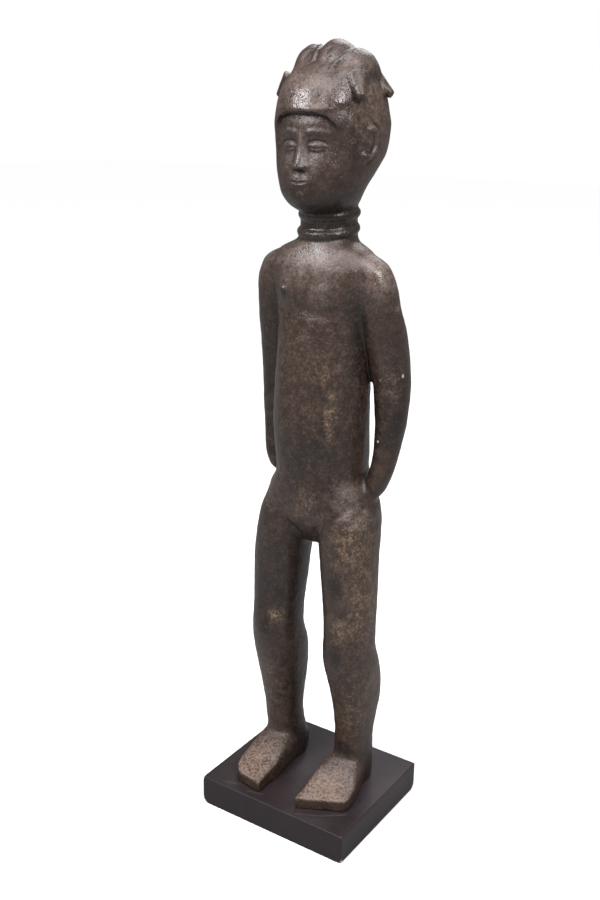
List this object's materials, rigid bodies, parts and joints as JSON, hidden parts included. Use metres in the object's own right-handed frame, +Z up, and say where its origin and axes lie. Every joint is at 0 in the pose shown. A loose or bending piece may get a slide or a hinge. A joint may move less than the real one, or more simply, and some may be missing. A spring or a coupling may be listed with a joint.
{
  "type": "ancestor figure",
  "caption": "Standing carved wooden figure with a lobed crest, ringed neck and arms at its sides, fixed on a rectangular display plinth.",
  "frame": {"origin": "middle of the plinth's underside", "axes": "+Z up the figure; it faces -Y and its own left side is +X"},
  "size_m": [0.222, 0.195, 0.9855],
  "materials": {
    "figure_wood": "dark brown-black polished patina, worn to lighter brown on chest, hips, legs and feet",
    "plinth_wood": "satin black stained block"
  },
  "bodies": {
    "root": {"figure": "figure_wood", "plinth": "plinth_wood"}
  },
  "joints": []
}
